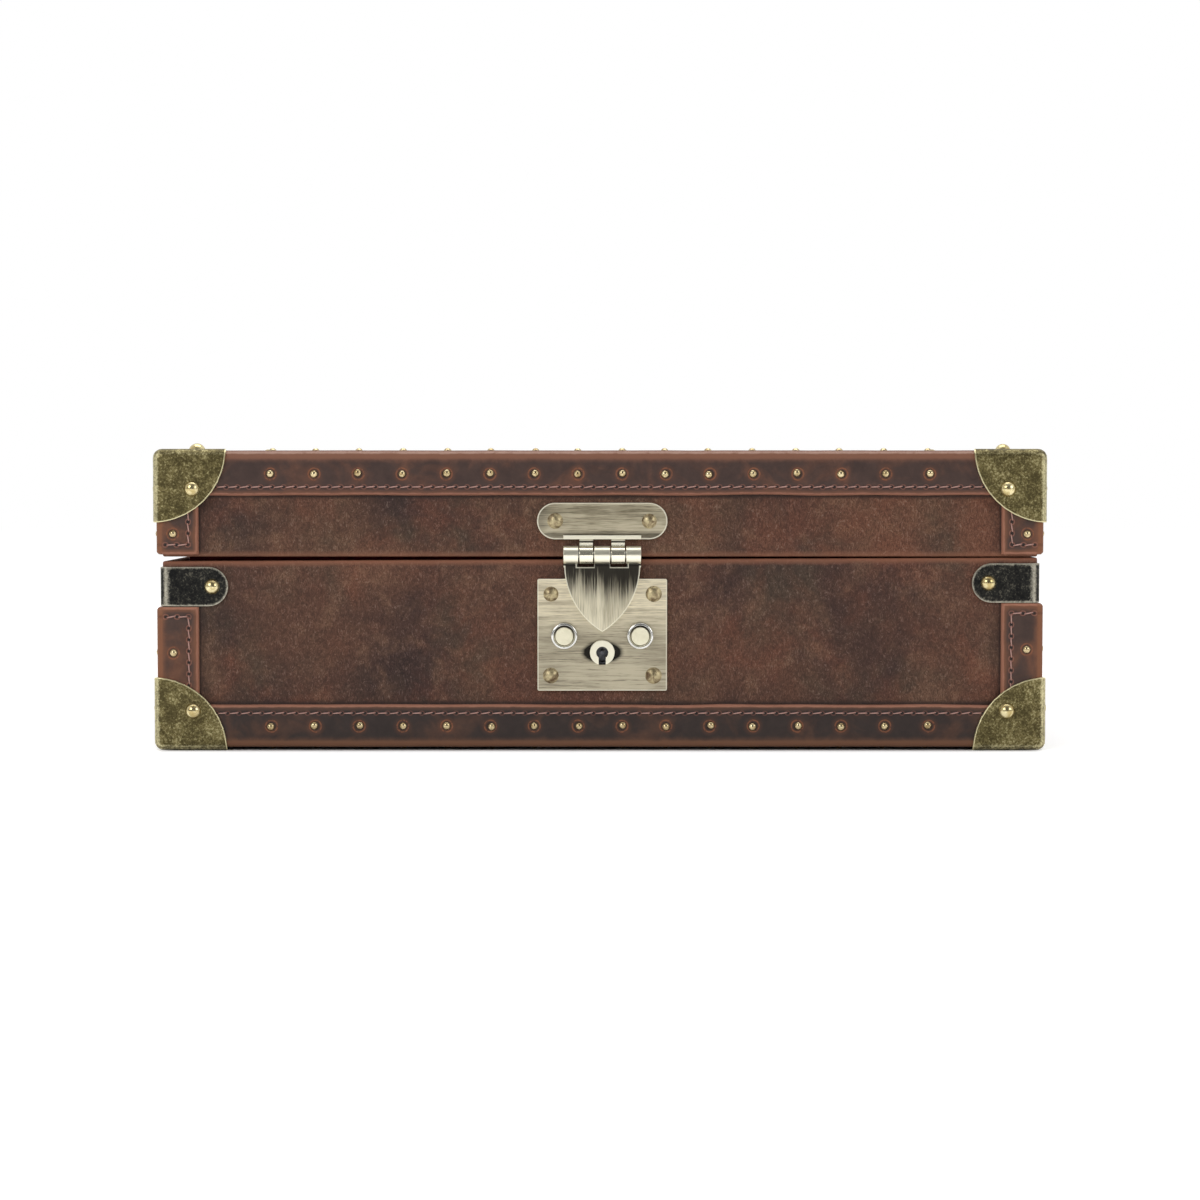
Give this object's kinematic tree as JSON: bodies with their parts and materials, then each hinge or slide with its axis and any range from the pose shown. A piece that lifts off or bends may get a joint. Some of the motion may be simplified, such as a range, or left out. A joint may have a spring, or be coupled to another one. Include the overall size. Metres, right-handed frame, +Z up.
{
  "type": "pocket watch display box",
  "caption": "Leather-covered wooden display box for pocket watches, with stitched and tacked edge bindings, brass corner caps, a hinged lid, a hasp and a push-button lock.",
  "frame": {"origin": "middle of the box's footprint, on the surface that it stands on", "axes": "+X to the right along the length, seen from the front; +Y from the hasp towards the rear hinges; +Z up"},
  "size_m": [0.324, 0.2534, 0.1101],
  "materials": {
    "panel_leather": "waxed dark brown pull-up leather",
    "binding_leather": "dark purple-brown leather worn orange-brown at its edges",
    "cap_brass": "mottled olive antique brass, bright at the rims",
    "brace_bronze": "near-black patinated bronze",
    "rivet_brass": "polished pale brass",
    "tack_brass": "dulled antique brass",
    "lock_brass": "brushed pale antique brass with dark patina",
    "inner_metal": "plain steel",
    "wood": "unfinished softwood",
    "lining_velvet": "short dark red velvet",
    "cushion_velvet": "soft dark red velvet"
  },
  "bodies": {
    "base": {"base_leather": "panel_leather", "base_binding_front": "binding_leather", "base_binding_back": "binding_leather", "base_binding_left": "binding_leather", "base_binding_right": "binding_leather", "base_corner_strips": "binding_leather", "base_cap_front_left": "cap_brass", "base_cap_front_right": "cap_brass", "base_cap_back_left": "cap_brass", "base_cap_back_right": "cap_brass", "brace_front_left": "brace_bronze", "brace_front_right": "brace_bronze", "brace_back_left": "brace_bronze", "brace_back_right": "brace_bronze", "base_rivets": "rivet_brass", "hinge_base_screws": "rivet_brass", "base_tacks": "tack_brass", "lock_plate": "lock_brass", "hinge_base_leaves": "lock_brass", "lock_case": "inner_metal", "button_spring_left": "inner_metal", "button_spring_right": "inner_metal", "hinge_pins": "inner_metal", "base_carcass": "wood", "liner_frame": "lining_velvet", "floor_board": "lining_velvet", "divider_long_front": "lining_velvet", "divider_long_back": "lining_velvet", "divider_cross_left": "lining_velvet", "divider_cross_middle": "lining_velvet", "divider_cross_right": "lining_velvet", "cushions_front": "cushion_velvet", "cushions_middle": "cushion_velvet", "cushions_back": "cushion_velvet"},
    "lid": {"lid_carcass": "wood", "lid_leather": "panel_leather", "lid_lining": "lining_velvet", "lid_pad": "cushion_velvet", "lid_binding_front": "binding_leather", "lid_binding_back": "binding_leather", "lid_binding_left": "binding_leather", "lid_binding_right": "binding_leather", "lid_corner_strips": "binding_leather", "lid_cap_front_left": "cap_brass", "lid_cap_front_right": "cap_brass", "lid_cap_back_left": "cap_brass", "lid_cap_back_right": "cap_brass", "lid_tacks": "tack_brass", "lid_rivets": "rivet_brass", "hinge_lid_leaves": "lock_brass", "hinge_lid_screws": "rivet_brass", "hasp_bracket": "lock_brass", "hasp_pin": "inner_metal"},
    "hasp": {"hasp_shield": "lock_brass", "hasp_staple": "inner_metal"},
    "left_button": {"button_left": "lock_brass"},
    "right_button": {"button_right": "lock_brass"},
    "left_catch": {"catch_left": "inner_metal"},
    "right_catch": {"catch_right": "inner_metal"},
    "key_ring": {"key_follower": "inner_metal"}
  },
  "joints": [
    {"name": "lid_hinge", "type": "hinge", "parent": "base", "child": "lid", "pos_m": [0, 0.1235, 0.06935], "axis": [-1, 0, 0], "range_deg": [0, 100]},
    {"name": "hasp_hinge", "type": "hinge", "parent": "lid", "child": "hasp", "pos_m": [0.0008, -0.1235, 0.0702], "axis": [-1, 0, 0], "range_deg": [0, 150]},
    {"name": "left_button_press", "type": "slide", "parent": "base", "child": "left_button", "axis": [0, 1, 0], "range_m": [0, 0.0015], "stiffness_N_per_m": 600, "springref_m": -0.0015, "deforming": ["button_spring_left"]},
    {"name": "right_button_press", "type": "slide", "parent": "base", "child": "right_button", "axis": [0, 1, 0], "range_m": [0, 0.0015], "stiffness_N_per_m": 600, "springref_m": -0.0015, "deforming": ["button_spring_right"]},
    {"name": "left_catch_slide", "type": "slide", "parent": "base", "child": "left_catch", "axis": [-1, 0, 0], "range_m": [0, 0.0015]},
    {"name": "right_catch_slide", "type": "slide", "parent": "base", "child": "right_catch", "axis": [1, 0, 0], "range_m": [0, 0.0015]},
    {"name": "key_turn", "type": "hinge", "parent": "base", "child": "key_ring", "pos_m": [0.0008, -0.117, 0.03525], "axis": [0, 1, 0], "range_deg": [0, 90]}
  ],
  "couplings": [
    {"joint": "left_catch_slide", "follows": "left_button_press", "ratio": 1},
    {"joint": "right_catch_slide", "follows": "right_button_press", "ratio": 1}
  ]
}
